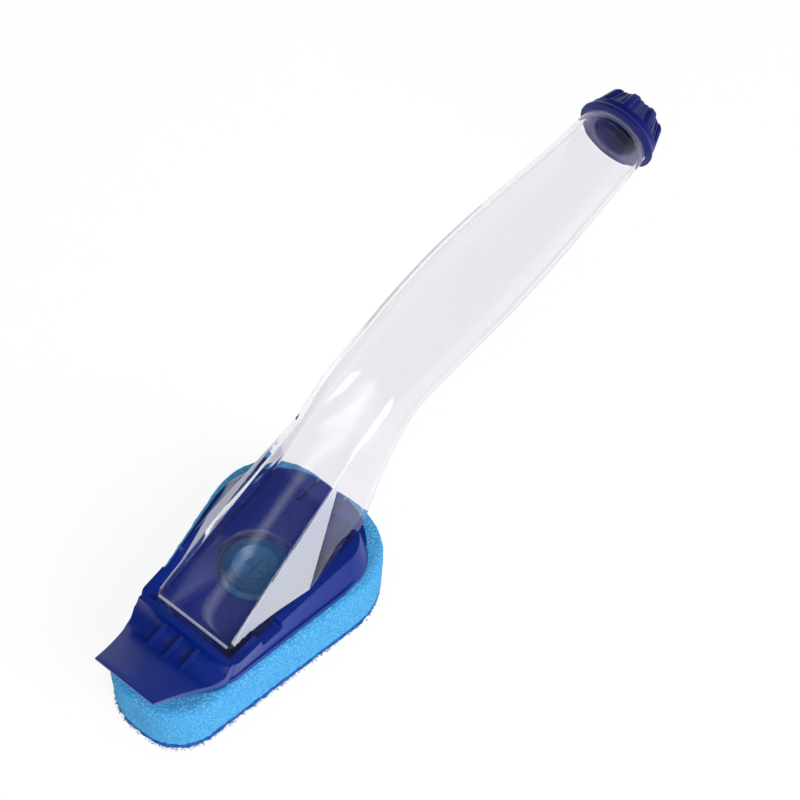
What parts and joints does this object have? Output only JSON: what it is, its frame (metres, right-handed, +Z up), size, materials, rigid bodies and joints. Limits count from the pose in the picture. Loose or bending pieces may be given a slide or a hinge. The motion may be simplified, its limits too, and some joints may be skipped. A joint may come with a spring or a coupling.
{
  "type": "dish wand",
  "caption": "Soap-dispensing dish wand: clear hollow handle with a screw cap, wedge head with a slit valve, and a slide-off base carrying a scraper and a foam scrubbing sponge.",
  "frame": {"origin": "centre of the scrub face, on the scourer's underside and in the mirror plane", "axes": "+X along the wand from the scraper towards the filler cap, +Y to the left of someone looking along +X, +Z up from the scrub face"},
  "size_m": [0.2399, 0.0562, 0.0741],
  "materials": {
    "clear_plastic": "clear, glossy, moulded",
    "silicone": "translucent, satin",
    "blue_cap_plastic": "satin gloss, moulded",
    "navy_plastic": "satin gloss, moulded",
    "blue_foam": "open-cell foam",
    "blue_scourer": "coarse non-woven fibre"
  },
  "bodies": {
    "handle": {"handle_reservoir": "clear_plastic", "head_floor": "clear_plastic", "outlet_valve": "silicone", "valve_retainer": "clear_plastic"},
    "base": {"sponge_base": "navy_plastic", "sponge_foam": "blue_foam", "scourer_pad": "blue_scourer"},
    "liner": {"cap_liner": "silicone"},
    "cap": {"filler_cap": "blue_cap_plastic"}
  },
  "joints": [
    {"name": "head_slide", "type": "slide", "parent": "handle", "child": "base", "axis": [-1, 0, 0], "range_m": [0, 0.07]},
    {"name": "cap_rise", "type": "slide", "parent": "handle", "child": "liner", "axis": [0.9877, 0, 0.1564], "range_m": [0, 0.0075]},
    {"name": "cap_turn", "type": "hinge", "parent": "liner", "child": "cap", "pos_m": [0.18099, 0, 0.06056], "axis": [0.9877, 0, 0.1564], "range_deg": [0, 905]}
  ],
  "couplings": [
    {"joint": "cap_turn", "follows": "cap_rise", "rad_per_m": 2094.4}
  ]
}
